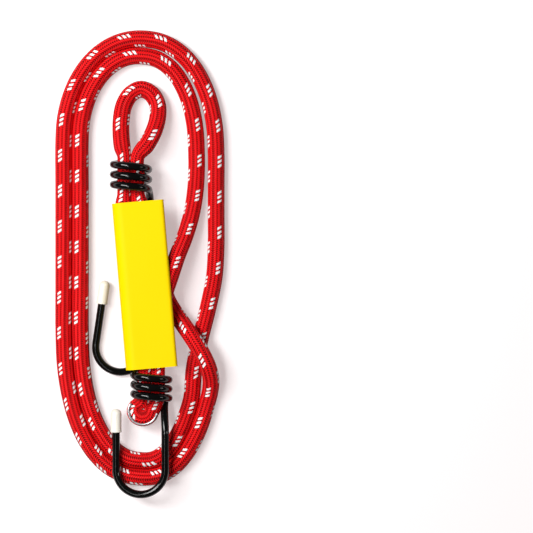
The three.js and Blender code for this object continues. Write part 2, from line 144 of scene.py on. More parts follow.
# The stretch along Y that a coil takes up: its low end, middle and high end
def coil_span(coil):
    high = coil_point(coil, coil["from"])[1] + wire_radius
    low = coil_point(coil, coil["to"])[1] - wire_radius
    return low, (low + high) / 2, high


upper_span = coil_span(UPPER_COIL)
lower_span = coil_span(LOWER_COIL)

# The open loop and the tight fold: across and along from the coil's end, and share of the drop to the
# floor; the ring runs between two points of the lower end's route, given by their numbers
LOOP = [
    (-4.5, 4.9, 0.1),
    (-5.3, 12.1, 0.3),
    (-5.3, 19.9, 0.53),
    (-4, 27.3, 0.76),
    (-0.6, 33.1, 0.94),
    (4.7, 35.8, 1),
    (10, 33.5, 0.96),
    (13.3, 27.9, 0.82),
    (13.6, 21.1, 0.61),
    (11.6, 13.5, 0.34),
    (8.1, 6.7, 0.11),
]
FOLD = [
    (3.2, 2.7, 0.04),
    (1.7, -0.9, 0.18),
    (0.3, -4.1, 0.31),
    (-1.1, -6.9, 0.39),
    (-4.3, -8.3, 0.43),
    (-7.6, -7.2, 0.44),
    (-9, -4.3, 0.44),
    (-8, -1.9, 0.44),
    (-5.9, -0.3, 0.35),
    (-4, 1.5, 0.17),
    (-3.5, 4.5, 0.03),
]
RING_FROM = 5
RING_TO = 10


def beyond_coil(coil, end, offsets):
    return [(coil["x"] + a, end + b, lerp(coil_height, floor_height, drop)) for a, b, drop in offsets]


def through_coil(coil, span, side):
    x = coil["x"] + side * strand_offset
    ends = (span[0] - GRIP_MARGIN, span[1], span[2] + GRIP_MARGIN)
    return [(x, y, coil_height) for y in ends]


# Part of a corner of the oval, between two angles; a corner spans from the top or bottom point to a side
def corner(shape, end_x, end_y, side_x, from_degrees, to_degrees):
    def bow(value):
        return math.copysign(abs(value) ** (2 / shape["roundness"]), value)

    reach = abs(side_x - end_x)
    centre_y = end_y - math.copysign(shape["height"], end_y)
    points = []
    for i in range(CORNER_STEPS + 1):
        angle = math.radians(lerp(from_degrees, to_degrees, i / CORNER_STEPS))
        x = end_x + reach * bow(math.cos(angle))
        y = centre_y + shape["height"] * bow(math.sin(angle))
        points.append((x, y, floor_height))
    return points


# Points of a straight side, without its ends
def side_points(start, end):
    shares = [(i + 1) / SIDE_STEPS for i in range(SIDE_STEPS - 1)]
    return [(lerp(start[0], end[0], s), lerp(start[1], end[1], s), floor_height) for s in shares]


# A lane laid inside another that runs clockwise, spreading from it near its end
def lane_inside(lane):
    inside = []
    last = len(lane) - 1
    for i, (x, y, z) in enumerate(lane):
        before = np.array(lane[max(i - 1, 0)])
        after = np.array(lane[min(i + 1, last)])
        heading = unit(after - before)
        step = lane_step + LANE_SPREAD * smoothstep(i / last, SPREAD_FROM, 1)
        inside.append((x + heading[1] * step, y - heading[0] * step, z))
    return inside


# The first turn's way down the right side, easing from the outer lane to the inner, without its ends
def run_in(start, end):
    points = []
    for i in range(1, RUN_STEPS):
        share = i / RUN_STEPS
        x = lerp(start[0], end[0], smoothstep(share, RUN_FROM, 1))
        points.append((x, lerp(start[1], end[1], share), floor_height))
    return points


# The outer turn clockwise from where the cord joins it, the run-in to the second turn, the inner turn
def turns():
    bottom_right = corner(BOTTOM_RIGHT, HANK_LOWEST, hank_bottom, half_width, -JOIN_ANGLE, -90)
    bottom_left = corner(BOTTOM_LEFT, HANK_LOWEST, hank_bottom, -half_width, -90, -180)
    top_left = corner(TOP_LEFT, 0, hank_top, -half_width, 180, 90)
    top_right = corner(TOP_RIGHT, 0, hank_top, half_width, 90, 0)
    left = side_points(bottom_left[-1], top_left[0])
    outer = bottom_right + bottom_left[1:] + left + top_left + top_right[1:]
    inner = lane_inside(outer)
    right = run_in(outer[-1], inner[0])
    last = (inner[-1][0], inner[-1][1] - LAST_SIDE, floor_height)
    return outer + right + inner + [last]


# Route of the cord from tail to tail, as points that its middle line goes through
upper_route = [
    (-7.3, 13.5, coil_height),
    (-7.5, 22, coil_height),
    (-7.9, 30, coil_height),
    *through_coil(UPPER_COIL, upper_span, -1),
    *beyond_coil(UPPER_COIL, upper_span[2], LOOP),
    *reversed(through_coil(UPPER_COIL, upper_span, 1)),
    (0.4, 30, coil_height),
]
hank_route = [
    (1, 21.5, coil_height),
    (1.7, 13, 10.8),
    (4.2, 6.4, 9.4),
    (8.5, 0.6, 6.9),
    (11, -5.2, 4.3),
    (12.3, -11.4, floor_height),
    (14, -18, floor_height),
    (17.6, -24.4, 4),
    (22.4, -31, 7.2),
    (27.4, -38, 11.1),
    (32, -45.4, cross_height),
    (35.5, -53, 10.6),
    (37, -60, 7.2),
    (36.5, -66, 4.5),
    *turns(),
    (28.8, 38, 3.5),
    (26.9, 26, 5),
    (23.6, 14.5, 7.4),
    (19.6, 4, 9.9),
    (16.5, -5.5, 11.1),
    (13.7, -14, 11.8),
    (11.8, -22, cross_height),
    (10.8, -31.5, 11.8),
    (10.2, -40.6, 11.5),
]
lower_route = [
    (10, -47.5, coil_height),
    *reversed(through_coil(LOWER_COIL, lower_span, 1)[1:]),
    *beyond_coil(LOWER_COIL, lower_span[0], FOLD),
    *through_coil(LOWER_COIL, lower_span, -1)[1:],
    (1.5, -46, coil_height),
    (1.2, -37, coil_height),
]


# Smooth curve through points, with the spacing of its parameter by the root of each distance
def smooth_line(points, divisions):
    p = np.array(points, float)
    p = np.vstack([2 * p[0] - p[1], p, 2 * p[-1] - p[-2]])
    t = np.linspace(0, 1, divisions, endpoint=False)[:, None]
    line = []
    for a, b, c, d in zip(p[:-3], p[1:-2], p[2:-1], p[3:]):
        d0, d1, d2 = (math.sqrt(np.linalg.norm(v)) for v in (b - a, c - b, d - c))
        m1 = ((b - a) / d0 - (c - a) / (d0 + d1) + (c - b) / d1) * d1
        m2 = ((c - b) / d1 - (d - b) / (d1 + d2) + (d - c) / d2) * d1
        cubic = 2 * b - 2 * c + m1 + m2
        square = 3 * c - 3 * b - 2 * m1 - m2
        line.append(b + t * m1 + t * t * square + t * t * t * cubic)
    return np.vstack([*line, p[-2:-1]])


# Length along a line at each of its points
def lengths_along(line):
    return np.concatenate([[0.0], np.cumsum(np.linalg.norm(np.diff(line, axis=0), axis=1))])


# Points of a line at given lengths along it
def points_at(line, lengths):
    along = lengths_along(line)
    return np.stack([np.interp(lengths, along, line[:, k]) for k in range(3)], axis=1)


DIVISIONS = 24
route = [*upper_route, *hank_route, *lower_route]
cord_line = smooth_line(route, DIVISIONS)
cord_along = lengths_along(cord_line)
cord_length = cord_along[-1]


# Length along the cord at a point of the lower end's route
def lower_end_length(index):
    return cord_along[(len(upper_route) + len(hank_route) + index) * DIVISIONS]


hank_start = cord_along[len(upper_route) * DIVISIONS]
hank_end = lower_end_length(0)


# The cord narrows where a coil grips it, and stays narrow round the tight fold
def cord_radius_at(length, point):
    if hank_start < length < hank_end:
        return cord_radius
    if length <= hank_start:
        low, high = upper_span[0], upper_span[2]
    else:
        low, high = -math.inf, lower_span[2]
    beyond = max(low - point[1], point[1] - high, 0.0)
    return lerp(squeezed_radius, cord_radius, smoothstep(beyond, 0, SQUEEZE_RUN_OUT))


UP = np.array([0.0, 0.0, 1.0])


# Headings and a pair of cross directions along a line that does not start upright, carried without twist
def frames_along(points):
    tangents = np.gradient(points, axis=0)
    tangents /= np.linalg.norm(tangents, axis=1)[:, None]
    normal = unit(np.cross(UP, tangents[0]))
    normals = []
    for tangent in tangents:
        normal = unit(normal - tangent * normal.dot(tangent))
        normals.append(normal)
    normals = np.array(normals)
    return tangents, normals, np.cross(tangents, normals)


# Rings of points round a line; radii may differ by ring and by place in the ring
def rings_along(points, radii, sides, turn=0.0):
    _, normals, binormals = frames_along(points)
    angles = np.arange(sides) * 2 * math.pi / sides + np.reshape(turn, (-1, 1))
    radii = np.broadcast_to(np.reshape(radii, (len(points), -1)), (len(points), sides))
    across = radii * np.cos(angles)
    over = radii * np.sin(angles)
    return points[:, None] + across[..., None] * normals[:, None] + over[..., None] * binormals[:, None]


# Quads between rings, with a cap at each end
def ring_faces(count, sides):
    faces = []
    for i in range(count - 1):
        for k in range(sides):
            n = (k + 1) % sides
            faces.append((i * sides + k, i * sides + n, (i + 1) * sides + n, (i + 1) * sides + k))
    faces.append(tuple(reversed(range(sides))))
    faces.append(tuple(range((count - 1) * sides, count * sides)))
    return faces


SMOOTH_ANGLE = math.radians(40)


def make_piece(name, points, faces, material, body, slot, *replaced):
    mesh = bpy.data.meshes.new(name)
    mesh.from_pydata((np.reshape(points, (-1, 3)) * MM).tolist(), [], faces)
    mesh.polygons.foreach_set("use_smooth", [True] * len(mesh.polygons))
    mesh.set_sharp_from_angle(angle=SMOOTH_ANGLE)
    mesh.materials.append(material)
    piece = bpy.data.objects.new(name, mesh)
    bpy.context.scene.collection.objects.link(piece)
    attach(piece, body)
    if replaced:
        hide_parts(*replaced)
    return piece


WHITE = (1.0, 1.0, 1.0, 1.0)

# A noise lies mostly between these values
NOISE_LOW = 0.3
NOISE_HIGH = 0.7


# Shader nodes by short calls; an input is a socket or a plain value
class Shader:
    def __init__(self, name):
        self.material = bpy.data.materials.new(name)
        self.material.use_nodes = True
        self.tree = self.material.node_tree
        self.surface = self.tree.nodes["Principled BSDF"]

    def put(self, socket, value):
        if isinstance(value, bpy.types.NodeSocket):
            self.tree.links.new(value, socket)
        else:
            socket.default_value = value

    def math(self, operation, *values):
        node = self.tree.nodes.new("ShaderNodeMath")
        node.operation = operation
        for socket, value in zip(node.inputs, values):
            self.put(socket, value)
        return node.outputs[0]

    def mix(self, share, first, second):
        node = self.tree.nodes.new("ShaderNodeMix")
        node.data_type = "RGBA"
        self.put(node.inputs["Factor"], share)
        self.put(node.inputs["A"], first)
        self.put(node.inputs["B"], second)
        return node.outputs["Result"]

    def spread(self, value, low, high, to_low=0.0, to_high=1.0):
        node = self.tree.nodes.new("ShaderNodeMapRange")
        for socket, number in zip(node.inputs, (value, low, high, to_low, to_high)):
            self.put(socket, number)
        return node.outputs["Result"]

    def noise(self, scale, detail, stretch=(1, 1, 1)):
        place = self.tree.nodes.new("ShaderNodeTexCoord")
        mapping = self.tree.nodes.new("ShaderNodeMapping")
        mapping.inputs["Scale"].default_value = stretch
        node = self.tree.nodes.new("ShaderNodeTexNoise")
        node.inputs["Scale"].default_value = scale
        node.inputs["Detail"].default_value = detail
        self.tree.links.new(place.outputs["Object"], mapping.inputs["Vector"])
        self.tree.links.new(mapping.outputs["Vector"], node.inputs["Vector"])
        return node.outputs["Fac"]

    def uv(self, name):
        node = self.tree.nodes.new("ShaderNodeUVMap")
        node.uv_map = name
        split = self.tree.nodes.new("ShaderNodeSeparateXYZ")
        self.tree.links.new(node.outputs["UV"], split.inputs["Vector"])
        return split.outputs["X"], split.outputs["Y"]

    def bump(self, height, distance, strength):
        node = self.tree.nodes.new("ShaderNodeBump")
        node.inputs["Strength"].default_value = strength
        node.inputs["Distance"].default_value = distance
        self.put(node.inputs["Height"], height)
        self.tree.links.new(node.outputs["Normal"], self.surface.inputs["Normal"])

    # One noise runs between two colours and between two roughnesses
    def cloud(self, noise, colours, roughness):
        rough = self.spread(noise, NOISE_LOW, NOISE_HIGH, *roughness)
        return self.set(Base_Color=self.mix(noise, *colours), Roughness=rough)

    def set(self, **values):
        for name, value in values.items():
            self.put(self.surface.inputs[name.replace("_", " ")], value)
        return self.material


# Braid: columns of slanted stitches, neighbours slanting opposite ways, with a white tracer in every third
# column; a stitch has a length, and the other sizes are in columns across and stitches along
COLUMNS = 12
STITCH = 1.15
SLANT = 1.1
RIB_POWER = 0.7
CROWN_POWER = 0.45
TRACER_EVERY = 3.0
TRACER_MIDDLE = 1.5
TRACER_REPEAT = 16.0
TRACER_STAGGER = 3.0
TRACER_STROKES = 3
STROKE_SLANT = 1.0
STROKE_REACH = 0.56
STROKE_HALF = 0.62
STROKE_EDGE = 0.1
STROKE_FRAY = 0.16
BRAID_UV = "braid"

# Colour of the braid: red yarn, paler on its crests as a painted highlight, dark in every second groove
# between two columns and darker between stitches as painted shade
GROOVE_SHADE_REDS = ((0.01, 0.0, 0.0, 1), (0.03, 0.0, 0.0, 1))
YARN_REDS = ((0.96, 0.0005, 0.002, 1), (1.0, 0.003, 0.007, 1))
PAINTED_HIGHLIGHT_RED = (1.0, 0.03, 0.034, 1)
SHEEN_RED = (1.0, 0.06, 0.06, 1)
TRACER_SHADED_WHITES = ((0.8, 0.77, 0.77, 1), (0.97, 0.97, 0.97, 1))
HIGHLIGHT_HEIGHTS = (0.8, 1.0)
HIGHLIGHT_SHARE = 0.8
OPEN_GROOVE = 0.68
CLOSED_GROOVE = 1.12
COVER_EDGE = (0.42, 0.68)
RIB_EDGE = (0.64, 0.9)
RIB_LIT = 0.75
RIB_DARKEST = 0.62
TRACER_HEIGHTS = (0.1, 0.5)
TRACER_RISE = 0.9
WORN_RISE = 0.15
BRAID_ROUGHNESS = (0.7, 0.36)


def braid_material():
    s = Shader("braided_sheath")
    across, along = s.uv(BRAID_UV)
    column = s.math("FLOOR", across)
    in_column = s.math("FRACT", across)
    way = s.math("MULTIPLY_ADD", s.math("FLOORED_MODULO", column, 2.0), -2.0, 1.0)
    slant = s.math("MULTIPLY", s.math("SUBTRACT", in_column, 0.5), SLANT)
    phase = s.math("MULTIPLY_ADD", slant, way, along)
    in_stitch = s.math("FRACT", phase)
    rib = s.math("SINE", s.math("MULTIPLY", in_stitch, math.pi))
    crown = s.math("SINE", s.math("MULTIPLY", in_column, math.pi))
    height = s.math("MULTIPLY", s.math("POWER", rib, RIB_POWER), s.math("POWER", crown, CROWN_POWER))
    sideways = s.math("SUBTRACT", s.math("FLOORED_MODULO", across, TRACER_EVERY), TRACER_MIDDLE)
    group = s.math("FLOOR", s.math("DIVIDE", across, TRACER_EVERY))
    slanted = s.math("MULTIPLY_ADD", sideways, -STROKE_SLANT, along)
    staggered = s.math("MULTIPLY_ADD", group, -TRACER_STAGGER, slanted)
    repeat = s.math("FLOORED_MODULO", staggered, TRACER_REPEAT)
    marked = s.math("LESS_THAN", repeat, 2.0 * TRACER_STROKES)
    from_middle = s.math("PINGPONG", s.math("ADD", repeat, 1.0), 1.0)
    fray = s.spread(s.noise(scale=1100, detail=2), NOISE_LOW, NOISE_HIGH, -1.0, 1.0)
    frayed = s.math("MULTIPLY_ADD", fray, STROKE_FRAY, from_middle)
    stroke = s.spread(frayed, STROKE_HALF - STROKE_EDGE, STROKE_HALF, 1.0, 0.0)
    inside = s.spread(s.math("ABSOLUTE", sideways), STROKE_REACH - STROKE_EDGE, STROKE_REACH, 1.0, 0.0)
    tracer = s.math("MULTIPLY", s.math("MULTIPLY", marked, inside), stroke)
    worn = s.noise(scale=260, detail=4)
    # Painted shade: near-black red for the grooves and the gaps between stitches
    deep = s.mix(worn, *GROOVE_SHADE_REDS)
    yarn = s.mix(worn, *YARN_REDS)
    # Painted highlight: the crests of the stitches turn a paler red where a lamp's highlight would fall
    bright = s.mix(s.spread(height, *HIGHLIGHT_HEIGHTS, 0.0, HIGHLIGHT_SHARE), yarn, PAINTED_HIGHLIGHT_RED)
    groove = s.math("FLOORED_MODULO", s.math("ROUND", across), 2.0)
    cover = s.math("MULTIPLY", crown, s.spread(groove, 0, 1, OPEN_GROOVE, CLOSED_GROOVE))
    # Painted shade: dark dots along every second groove, and darker flanks between stitches
    unshaded_place = s.math("MAXIMUM", s.spread(cover, *COVER_EDGE), s.spread(rib, *RIB_EDGE))
    lit = s.math("MULTIPLY", unshaded_place, s.spread(rib, 0, RIB_LIT, RIB_DARKEST, 1.0))
    red = s.mix(lit, deep, bright)
    # Painted shade: the tracer's white is greyer low in the grooves
    white = s.mix(s.spread(height, *TRACER_HEIGHTS), *TRACER_SHADED_WHITES)
    raised = s.math("MAXIMUM", height, s.math("MULTIPLY", tracer, TRACER_RISE))
    s.bump(s.math("MULTIPLY_ADD", worn, WORN_RISE, raised), distance=0.0004, strength=0.9)
    return s.set(
        Base_Color=s.mix(tracer, red, white),
        Roughness=s.spread(height, 0, 1, *BRAID_ROUGHNESS),
        Specular_IOR_Level=0.14,
        Sheen_Weight=0.04,
        Sheen_Roughness=0.4,
        Sheen_Tint=SHEEN_RED,
    )


def wire_material():
    s = Shader("coated_wire")
    s.bump(s.noise(scale=420, detail=3), distance=0.00003, strength=0.2)
    s.cloud(
        s.noise(scale=60, detail=5),
        colours=((0.001, 0.001, 0.001, 1), (0.004, 0.004, 0.004, 1)),
        roughness=(0.07, 0.11),
    )
    return s.set(Specular_IOR_Level=0.3)


def steel_material():
    s = Shader("bright_steel")
    drawn = s.noise(scale=900, detail=4, stretch=(1, 1, 0.2))
    s.bump(drawn, distance=0.00003, strength=0.3)
    s.cloud(drawn, colours=((0.5, 0.51, 0.52, 1), (0.68, 0.68, 0.69, 1)), roughness=(0.34, 0.48))
    return s.set(Metallic=1.0)


def tip_material():
    s = Shader("ivory_cap")
    s.bump(s.noise(scale=1500, detail=2), distance=0.00005, strength=0.3)
    return s.cloud(
        s.noise(scale=170, detail=4),
        colours=((0.88, 0.83, 0.7, 1), (0.94, 0.9, 0.8, 1)),
        roughness=(0.32, 0.48),
    )


CREASE_SHARE = 2.0


def tag_material():
    s = Shader("yellow_tag")
    grain = s.noise(scale=800, detail=3)
    crease = s.noise(scale=120, detail=2, stretch=(1, 0.15, 1))
    s.bump(s.math("MULTIPLY_ADD", crease, CREASE_SHARE, grain), distance=0.00006, strength=0.4)
    s.cloud(
        s.noise(scale=45, detail=4),
        colours=((0.96, 0.66, 0.0, 1), (0.99, 0.7, 0.0, 1)),
        roughness=(0.42, 0.56),
    )
    return s.set(Specular_IOR_Level=0.05)


def rubber_material():
    s = Shader("rubber_threads")
    patches = s.noise(scale=500, detail=3)
    s.bump(patches, distance=0.00005, strength=0.4)
    return s.cloud(patches, colours=((0.5, 0.4, 0.26, 1), (0.72, 0.6, 0.42, 1)), roughness=(0.7, 0.9))


# Camera straight above the middle of the picture, in which a pixel is 0.52 mm of the object's plane
IMAGE_PIXELS = 533
PIXEL = 0.52
ORIGIN_PIXEL = (140, 264)
LENS = 150.0
camera_data = bpy.data.cameras.new("camera")
camera_data.lens = LENS
camera = bpy.data.objects.new("camera", camera_data)
bpy.context.scene.collection.objects.link(camera)
bpy.context.scene.camera = camera
middle = IMAGE_PIXELS / 2
camera_height = IMAGE_PIXELS * PIXEL * LENS / camera_data.sensor_width + floor_height
camera.location = (
    (middle - ORIGIN_PIXEL[0]) * PIXEL * MM,
    (ORIGIN_PIXEL[1] - middle) * PIXEL * MM,
    camera_height * MM,
)

# Sheath: one tube from tail to tail with the braid's stitches in relief, turned in over the core at both
# ends; the braid's turn is given in degrees at lengths along the cord, and the fold swells from some points
# of the route before the ring to some points past it
RINGS_PER_STITCH = 2
SIDES_PER_COLUMN = 3
SHEATH_SIDES = SIDES_PER_COLUMN * COLUMNS
STITCH_RELIEF = 0.16
STITCH_PHASE = SLANT / (2 * SIDES_PER_COLUMN)
TWIST = 0.002
BRAID_TURN_AT = (160, 400, 510, 670, 800, 900, 1020, 1150)
BRAID_TURN = (20, 70, 70, 47, 40, 16, 16, -4)
LIP = 0.5
BORE_RADIUS = 2.75
BORE_DEPTH = 5.0
SIDE_SPREAD = 0.46
SWELL_BEFORE_RING = 3
SWELL_PAST_RING = 4
FOLD_SWELL = 2.2
FOLD_RIM = 0.7


# How high the braid stands at places given in columns and stitches, from 0 in a groove to 1
def braid_height(across, along):
    in_column = across % 1
    way = 1 - 2 * (np.floor(across) % 2)
    in_stitch = (along + way * (in_column - 0.5) * SLANT) % 1
    return np.sin(math.pi * in_stitch) ** RIB_POWER * np.sin(math.pi * in_column) ** CROWN_POWER


# The lying cord is a little wider than it is high, so that neighbouring lanes touch
def spread_sideways(rings, points, radii):
    wider = (1 + SIDE_SPREAD / radii)[:, None, None] * (rings[..., :2] - points[:, None, :2])
    return np.concatenate([points[:, None, :2] + wider, rings[..., 2:]], axis=2)


# The clamped fold bulges inwards until its sides meet, and outwards below the ring
def swell_fold(rings, points, lengths):
    fold_from = lower_end_length(RING_FROM - SWELL_BEFORE_RING)
    fold_to = lower_end_length(RING_TO + SWELL_PAST_RING)
    in_fold = (lengths > fold_from) & (lengths < fold_to)
    middle = points[in_fold].mean(axis=0)
    ease = np.sin(math.pi * np.clip((lengths - fold_from) / (fold_to - fold_from), 0, 1)) ** 0.5
    inward = middle - points
    inward /= np.linalg.norm(inward, axis=1)[:, None]
    spokes = rings - points[:, None]
    spokes = spokes / np.linalg.norm(spokes, axis=2)[..., None]
    inwards = (spokes * inward[:, None]).sum(axis=2)
    bulge = FOLD_SWELL * np.clip(inwards, 0, 1) ** 2
    below_ring = np.clip(1 - 2 * spokes[..., 2], 0, 1)
    rim = FOLD_RIM * np.clip(-inwards, 0, 1) * below_ring
    return rings + inward[:, None] * (ease[:, None] * (bulge - rim))[..., None]


def cord_piece():
    count = round(cord_length / STITCH * RINGS_PER_STITCH)
    lengths = np.linspace(0, cord_length, count + 1)
    points = points_at(cord_line, lengths)
    radii = np.array([cord_radius_at(s, p) for s, p in zip(lengths, points)])
    stitches = np.arange(count + 1) / RINGS_PER_STITCH + STITCH_PHASE
    relief = braid_height(np.arange(SHEATH_SIDES)[None, :] / SIDES_PER_COLUMN, stitches[:, None])
    profile = radii[:, None] - STITCH_RELIEF * (1 - relief)
    profile[[0, -1]] -= LIP
    turn = TWIST * lengths + np.radians(np.interp(lengths, BRAID_TURN_AT, BRAID_TURN))
    rings = rings_along(points, profile, SHEATH_SIDES, turn)
    rings = spread_sideways(rings, points, radii)
    rings = swell_fold(rings, points, lengths)
    bore = rings_along(points, np.full(len(points), BORE_RADIUS), SHEATH_SIDES, turn)
    deep = math.ceil(BORE_DEPTH / STITCH * RINGS_PER_STITCH)
    rings = np.concatenate([bore[[deep, 0]], rings, bore[[-1, -1 - deep]]])
    rings[..., 2] = np.maximum(rings[..., 2], 0.0)
    steps = np.concatenate([stitches[[deep, 0]], stitches, stitches[[-1, -1 - deep]]])
    piece = make_piece(
        "braided_cord",
        rings,
        ring_faces(len(rings), SHEATH_SIDES),
        braid_material(),
        "cord",
        "sheath",
        "cord_upper_end",
        "cord_hank",
        "cord_lower_end",
    )
    layer = piece.data.uv_layers.new(name=BRAID_UV)
    uv = np.zeros((len(piece.data.loops), 2))
    quads = (len(rings) - 1) * SHEATH_SIDES
    ring = np.repeat(np.arange(len(rings) - 1), SHEATH_SIDES)
    place = np.tile(np.arange(SHEATH_SIDES), len(rings) - 1)
    for corner_index, (next_ring, next_place) in enumerate([(0, 0), (0, 1), (1, 1), (1, 0)]):
        uv[corner_index : 4 * quads : 4, 0] = (place + next_place) / SIDES_PER_COLUMN
        uv[corner_index : 4 * quads : 4, 1] = steps[ring + next_ring]
    layer.data.foreach_set("uv", uv.astype(np.float32).ravel())
    return points


# Bundle of rubber threads that shows at a cut end of the cord
THREAD_RINGS = ((6, 1.0, 0.0), (12, 1.95, 0.5))
THREAD_RADIUS = 0.48
THREAD_SIDES = 10
THREAD_LENGTH = 4.0
THREAD_REACH = 0.25
THREAD_BEVEL = (0.15, 0.12)
THREAD_SEED = 4
END_STEPS = 8


# One thread in the middle and two rings of threads, each with its count, radius and offset in threads
def thread_places():
    places = [(0.0, 0.0)]
    for count, radius, offset in THREAD_RINGS:
        for k in range(count):
            angle = 2 * math.pi * (k + offset) / count
            places.append((radius * math.cos(angle), radius * math.sin(angle)))
    return places


def core_piece(name, end, inward, *replaced):
    heading = unit(inward - end)
    side = unit(np.cross(heading, UP))
    over = np.cross(heading, side)
    uneven = np.random.default_rng(THREAD_SEED)
    points = []
    faces = []
    for across, up in thread_places():
        axis = end + side * across + over * up
        reach = THREAD_REACH * uneven.uniform(-1, 1)
        stations = [-reach, THREAD_BEVEL[0] - reach, THREAD_LENGTH]
        radii = [THREAD_RADIUS - THREAD_BEVEL[1], THREAD_RADIUS, THREAD_RADIUS]
        line = np.array([axis + heading * s for s in stations])
        first = len(points) * THREAD_SIDES
        points.extend(rings_along(line, radii, THREAD_SIDES))
        faces.extend(tuple(v + first for v in f) for f in ring_faces(len(stations), THREAD_SIDES))
    make_piece(name, points, faces, rubber_material(), "cord", "core", *replaced)


# Wire of a hook: coil, run to the shank, bend and limb; its bare cut end is given by distances from the end
# of the coating and shares of the wire's radius there
COIL_STEPS = 48
BEND_STEPS = 40
EXIT_STEPS = 16
WIRE_STEP = 1.0
WIRE_SIDES = 24
WIRE_CHAMFER = 0.35
CUT_STATIONS = (-0.2, 0.06, 0.1)
CUT_SHARES = (0.75, 0.75, 0.68)


def coil_path(coil):
    count = math.ceil((coil["to"] - coil["from"]) / 360 * COIL_STEPS)
    return [coil_point(coil, lerp(coil["from"], coil["to"], i / count)) for i in range(count + 1)]


def exit_path(coil, shank_top, direction, exit_size):
    start = coil_point(coil, coil["to"])
    heading = unit(start - coil_point(coil, coil["to"] - 1))
    first = start + heading * exit_size["pull"]
    second = shank_top - direction * exit_size["push"]
    path = []
    for i in range(1, EXIT_STEPS + 1):
        t = i / EXIT_STEPS
        u = 1 - t
        path.append(u**3 * start + 3 * u * u * t * first + 3 * u * t * t * second + t**3 * shank_top)
    return path


def bend_path(bend, from_degrees, to_degrees, height_at):
    path = []
    for i in range(BEND_STEPS + 1):
        angle = math.radians(lerp(from_degrees, to_degrees, i / BEND_STEPS))
        x = bend["x"] + bend["radius"] * math.cos(angle)
        path.append(np.array([x, bend["y"] + bend["radius"] * math.sin(angle), height_at(x)]))
    return path


def upper_hook_path():
    foot = np.array([UPPER_BEND["x"] + UPPER_BEND["radius"], UPPER_BEND["y"], wire_radius])
    shank_top = np.array([*UPPER_SHANK_TOP, wire_radius])
    direction = unit(foot - shank_top)
    shank_lean = math.degrees(math.asin(-direction[0]))
    bend = bend_path(UPPER_BEND, -shank_lean, -180 - UPPER_LIMB["lean"], lambda x: wire_radius)
    lean = math.radians(UPPER_LIMB["lean"])
    rise = math.tan(math.radians(UPPER_LIMB["rise"]))
    along = unit(np.array([math.sin(lean), math.cos(lean), rise]))
    tip = bend[-1] + along * UPPER_LIMB["length"]
    exit_line = exit_path(UPPER_COIL, shank_top, direction, UPPER_EXIT)
    return np.array([*coil_path(UPPER_COIL), *exit_line, *bend, tip]), along


def lower_hook_path():
    low = LOWER_BEND["x"] - LOWER_BEND["radius"]
    right = LOWER_BEND["x"] + LOWER_BEND["radius"]
    slope = math.tan(math.radians(LOWER_TILT))

    def height_at(x):
        return limb_height + (x - low) * slope

    shank_top = np.array([right, LOWER_SHANK_TOP, height_at(right)])
    bend = bend_path(LOWER_BEND, 0, -180, height_at)
    along = np.array([0.0, 1.0, 0.0])
    tip = bend[-1] + along * LOWER_LIMB
    exit_line = exit_path(LOWER_COIL, shank_top, np.array([0.0, -1.0, 0.0]), LOWER_EXIT)
    return np.array([*coil_path(LOWER_COIL), *exit_line, *bend, tip]), along


def hook_pieces(name, path, along, body, wire, steel, ivory):
    total = lengths_along(path)[-1]
    lengths = np.linspace(0, total, math.ceil(total / WIRE_STEP) + 1)
    lengths = np.insert(lengths, 1, WIRE_CHAMFER)
    line = points_at(path, lengths)
    radii = np.full(len(line), wire_radius)
    radii[0] -= WIRE_CHAMFER
    faces = ring_faces(len(line), WIRE_SIDES)
    make_piece(f"{name}_wire", rings_along(line, radii, WIRE_SIDES), faces, wire, body, "wire", name)
    heading = unit(line[0] - line[2])
    cut = np.array([line[0] + heading * station for station in CUT_STATIONS])
    cut_radii = np.array(CUT_SHARES) * wire_radius
    cut_faces = ring_faces(len(cut), WIRE_SIDES)
    make_piece(f"{name}_cut_end", rings_along(cut, cut_radii, WIRE_SIDES), cut_faces, steel, body, "steel")
    tip_piece(f"{name}_cap", path[-1], along, body, ivory, f"{name}_tip")


# Round-nosed cap with a rolled rim and a blind bore, pushed over the end of a wire
TIP_SIDES = 40
NOSE_STEPS = 12
NOSE_END = 0.97
RIM_HEIGHT = 0.9
RIM_STEP = 0.12
RIM_ROUND = 0.2
RIM_SLOPE = 0.25
MOUTH_DEPTH = 0.25
BORE_FLAT = 0.3


def tip_piece(name, wire_end, along, body, material, replaced):
    outer = TIP_DIAMETER / 2
    bore = wire_radius + TIP_CLEARANCE
    barrel = outer - RIM_STEP
    base = wire_end - along * (TIP_BORE - TIP_CLEARANCE)
    profile = [(TIP_BORE, bore * BORE_FLAT), (TIP_BORE, bore), (MOUTH_DEPTH, bore), (0, bore + RIM_ROUND)]
    profile += [(0, outer - RIM_ROUND), (RIM_ROUND, outer)]
    profile += [(RIM_HEIGHT, outer), (RIM_HEIGHT + RIM_SLOPE, barrel)]
    for i in range(NOSE_STEPS + 1):
        angle = math.pi / 2 * i / NOSE_STEPS * NOSE_END
        profile.append((TIP_LENGTH - barrel + barrel * math.sin(angle), barrel * math.cos(angle)))
    side = unit(np.cross(along, UP))
    over = np.cross(side, along)
    angles = np.arange(TIP_SIDES) * 2 * math.pi / TIP_SIDES
    around = np.cos(angles)[:, None] * side + np.sin(angles)[:, None] * over
    rings = np.array([base + along * height + around * radius for height, radius in profile])
    faces = [tuple(reversed(f)) for f in ring_faces(len(rings), TIP_SIDES)]
    make_piece(name, rings, faces, material, body, "tip", replaced)


# Ring that hugs the shoulder of the folded end
RING_STEPS = 60
RING_SIDES = 16
RING_TAPER = 3
RING_BLUNT = 0.06


